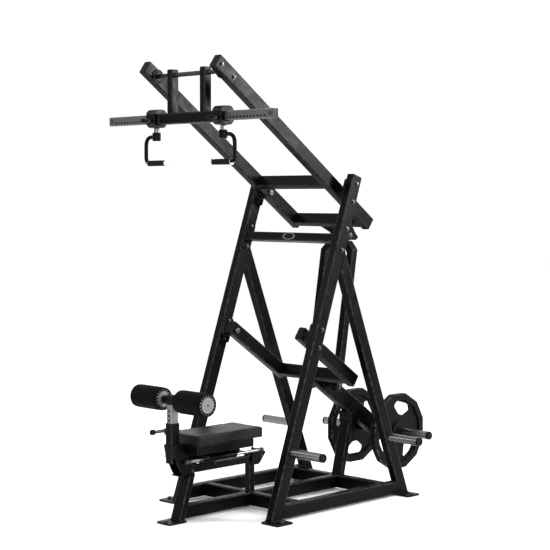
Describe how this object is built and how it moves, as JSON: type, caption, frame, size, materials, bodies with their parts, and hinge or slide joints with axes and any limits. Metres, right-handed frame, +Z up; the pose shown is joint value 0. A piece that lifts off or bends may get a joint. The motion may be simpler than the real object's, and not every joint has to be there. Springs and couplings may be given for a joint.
{
  "type": "lat pulldown machine",
  "caption": "Plate-loaded lat pulldown machine: leaning side frames, linked levers, hanging handle bar, weight plates, small seat and thigh rollers.",
  "frame": {"origin": "centre of the bounding box's base, on the floor", "axes": "+X to one side (the right side frame), +Y from the seat and rollers towards the weight plates, +Z up"},
  "size_m": [1.3, 2.015, 2.4667],
  "materials": {
    "black_powder_coat": "satin black powder coat",
    "chrome_tube": "polished chrome",
    "pale_perforated_bar": "pale silver-grey satin",
    "roller_foam": "matt black moulded foam",
    "seat_vinyl": "black vinyl, light grain",
    "plate_iron": "dark coated iron",
    "bumper_rubber": "matt black rubber"
  },
  "bodies": {
    "frame": {"centre_beam": "black_powder_coat", "front_cross_rail_left": "black_powder_coat", "front_cross_rail_right": "black_powder_coat", "gas_cylinder": "black_powder_coat", "lower_bearing_left": "black_powder_coat", "lower_bearing_right": "black_powder_coat", "nameplate": "pale_perforated_bar", "rear_cross_rail": "black_powder_coat", "rear_leg_left": "black_powder_coat", "rear_leg_right": "black_powder_coat", "rest_bumper": "bumper_rubber", "rest_post": "black_powder_coat", "seat_front_leg": "black_powder_coat", "seat_rail": "black_powder_coat", "seat_rear_post": "black_powder_coat", "side_rail_left": "black_powder_coat", "side_rail_right": "black_powder_coat", "storage_peg_front_left": "chrome_tube", "storage_peg_front_right": "chrome_tube", "storage_peg_rear_left": "chrome_tube", "storage_peg_rear_right": "chrome_tube", "thigh_sleeve": "black_powder_coat", "top_crossbar": "black_powder_coat", "upper_bearing_left": "black_powder_coat", "upper_bearing_right": "black_powder_coat", "upright_left": "black_powder_coat", "upright_right": "black_powder_coat"},
    "upper_lever": {"upper_arm_right": "black_powder_coat", "upper_arm_left": "black_powder_coat", "upper_cross_tube_front": "black_powder_coat", "upper_cross_tube_rear": "black_powder_coat", "hanger_bearing_right": "black_powder_coat", "hanger_bearing_left": "black_powder_coat"},
    "lower_lever": {"lower_arm_right": "black_powder_coat", "lower_arm_left": "black_powder_coat", "lower_cross_tube": "black_powder_coat", "lever_beam": "black_powder_coat", "weight_sleeve_bar": "chrome_tube"},
    "link": {"link_frame": "black_powder_coat"},
    "hanger": {"hanger_frame": "black_powder_coat", "handle_bar": "pale_perforated_bar"},
    "seat_front_link": {"seat_front_link": "black_powder_coat"},
    "seat_rear_link": {"seat_rear_link": "black_powder_coat"},
    "seat": {"seat_underframe": "black_powder_coat", "seat_cushion": "seat_vinyl"},
    "gas_rod": {"gas_rod": "chrome_tube"},
    "seat_release_lever": {"seat_release_lever": "black_powder_coat"},
    "thigh_post": {"thigh_post": "pale_perforated_bar", "roller_axle": "black_powder_coat"},
    "thigh_pull_pin": {"thigh_pull_pin": "black_powder_coat"},
    "weight_plate_right": {"weight_plate_right": "plate_iron"},
    "carriage_right": {"carriage_right": "black_powder_coat"},
    "carriage_pin_right": {"carriage_pin_right": "black_powder_coat"},
    "swivel_handle_right": {"swivel_handle_right": "black_powder_coat"},
    "thigh_roller_right": {"thigh_roller_right": "roller_foam"},
    "weight_plate_left": {"weight_plate_left": "plate_iron"},
    "carriage_left": {"carriage_left": "black_powder_coat"},
    "carriage_pin_left": {"carriage_pin_left": "black_powder_coat"},
    "swivel_handle_left": {"swivel_handle_left": "black_powder_coat"},
    "thigh_roller_left": {"thigh_roller_left": "roller_foam"}
  },
  "joints": [
    {"name": "upper_lever_pivot", "type": "hinge", "parent": "frame", "child": "upper_lever", "pos_m": [0, 0.1345, 1.759], "axis": [1, 0, 0], "range_deg": [0, 42]},
    {"name": "lower_lever_pivot", "type": "hinge", "parent": "frame", "child": "lower_lever", "pos_m": [0, -0.1405, 0.965], "axis": [1, 0, 0], "range_deg": [0, 32.85]},
    {"name": "link_pivot", "type": "hinge", "parent": "upper_lever", "child": "link", "pos_m": [0, 0.4875, 1.507], "axis": [1, 0, 0], "range_deg": [-40.6, 0]},
    {"name": "hanger_swing", "type": "hinge", "parent": "upper_lever", "child": "hanger", "pos_m": [0, -0.7335, 2.386], "axis": [1, 0, 0], "range_deg": [-45, 15]},
    {"name": "carriage_slide_right", "type": "slide", "parent": "hanger", "child": "carriage_right", "axis": [1, 0, 0], "range_m": [-0.012, 0.31]},
    {"name": "carriage_pin_pull_right", "type": "slide", "parent": "carriage_right", "child": "carriage_pin_right", "axis": [0, -1, 0], "range_m": [0, 0.012], "stiffness_N_per_m": 1500},
    {"name": "handle_swivel_right", "type": "hinge", "parent": "carriage_right", "child": "swivel_handle_right", "pos_m": [0.265, -0.7335, 2.06], "axis": [0, 0, 1], "continuous": true},
    {"name": "plate_slide_right", "type": "slide", "parent": "lower_lever", "child": "weight_plate_right", "axis": [1, 0, 0], "range_m": [0, 0.27]},
    {"name": "roller_spin_right", "type": "hinge", "parent": "thigh_post", "child": "thigh_roller_right", "pos_m": [0.17, -0.8575, 0.656], "axis": [1, 0, 0], "continuous": true},
    {"name": "carriage_slide_left", "type": "slide", "parent": "hanger", "child": "carriage_left", "axis": [-1, 0, 0], "range_m": [-0.012, 0.31]},
    {"name": "carriage_pin_pull_left", "type": "slide", "parent": "carriage_left", "child": "carriage_pin_left", "axis": [0, -1, 0], "range_m": [0, 0.012], "stiffness_N_per_m": 1500},
    {"name": "handle_swivel_left", "type": "hinge", "parent": "carriage_left", "child": "swivel_handle_left", "pos_m": [-0.265, -0.7335, 2.06], "axis": [0, 0, 1], "continuous": true},
    {"name": "plate_slide_left", "type": "slide", "parent": "lower_lever", "child": "weight_plate_left", "axis": [-1, 0, 0], "range_m": [0, 0.27]},
    {"name": "roller_spin_left", "type": "hinge", "parent": "thigh_post", "child": "thigh_roller_left", "pos_m": [-0.17, -0.8575, 0.656], "axis": [1, 0, 0], "continuous": true},
    {"name": "thigh_post_slide", "type": "slide", "parent": "frame", "child": "thigh_post", "axis": [0, 0, 1], "range_m": [-0.075, 0.125]},
    {"name": "thigh_pin_pull", "type": "slide", "parent": "frame", "child": "thigh_pull_pin", "axis": [0, -1, 0], "range_m": [0, 0.012], "stiffness_N_per_m": 1500},
    {"name": "seat_front_link_pivot", "type": "hinge", "parent": "frame", "child": "seat_front_link", "pos_m": [0, -0.5775, 0.287], "axis": [-1, 0, 0], "range_deg": [0, 45]},
    {"name": "seat_rear_link_pivot", "type": "hinge", "parent": "frame", "child": "seat_rear_link", "pos_m": [0, -0.2295, 0.287], "axis": [-1, 0, 0], "range_deg": [0, 45]},
    {"name": "seat_level_pivot", "type": "hinge", "parent": "seat_front_link", "child": "seat", "pos_m": [0, -0.7383, 0.324], "axis": [1, 0, 0], "range_deg": [0, 45]},
    {"name": "gas_rod_slide", "type": "slide", "parent": "frame", "child": "gas_rod", "axis": [0, 1, 0], "range_m": [0, 0.0292]},
    {"name": "seat_release_squeeze", "type": "hinge", "parent": "seat", "child": "seat_release_lever", "pos_m": [0.08, -0.7275, 0.3565], "axis": [0, -1, 0], "range_deg": [0, 8], "stiffness_Nm_per_rad": 3}
  ],
  "couplings": [
    {"joint": "lower_lever_pivot", "follows": "upper_lever_pivot", "ratio": 0.781},
    {"joint": "link_pivot", "follows": "upper_lever_pivot", "ratio": -0.9655},
    {"joint": "seat_rear_link_pivot", "follows": "seat_front_link_pivot", "ratio": 1},
    {"joint": "seat_level_pivot", "follows": "seat_front_link_pivot", "ratio": 1},
    {"joint": "gas_rod_slide", "follows": "seat_front_link_pivot", "m_per_rad": 0.03703}
  ]
}
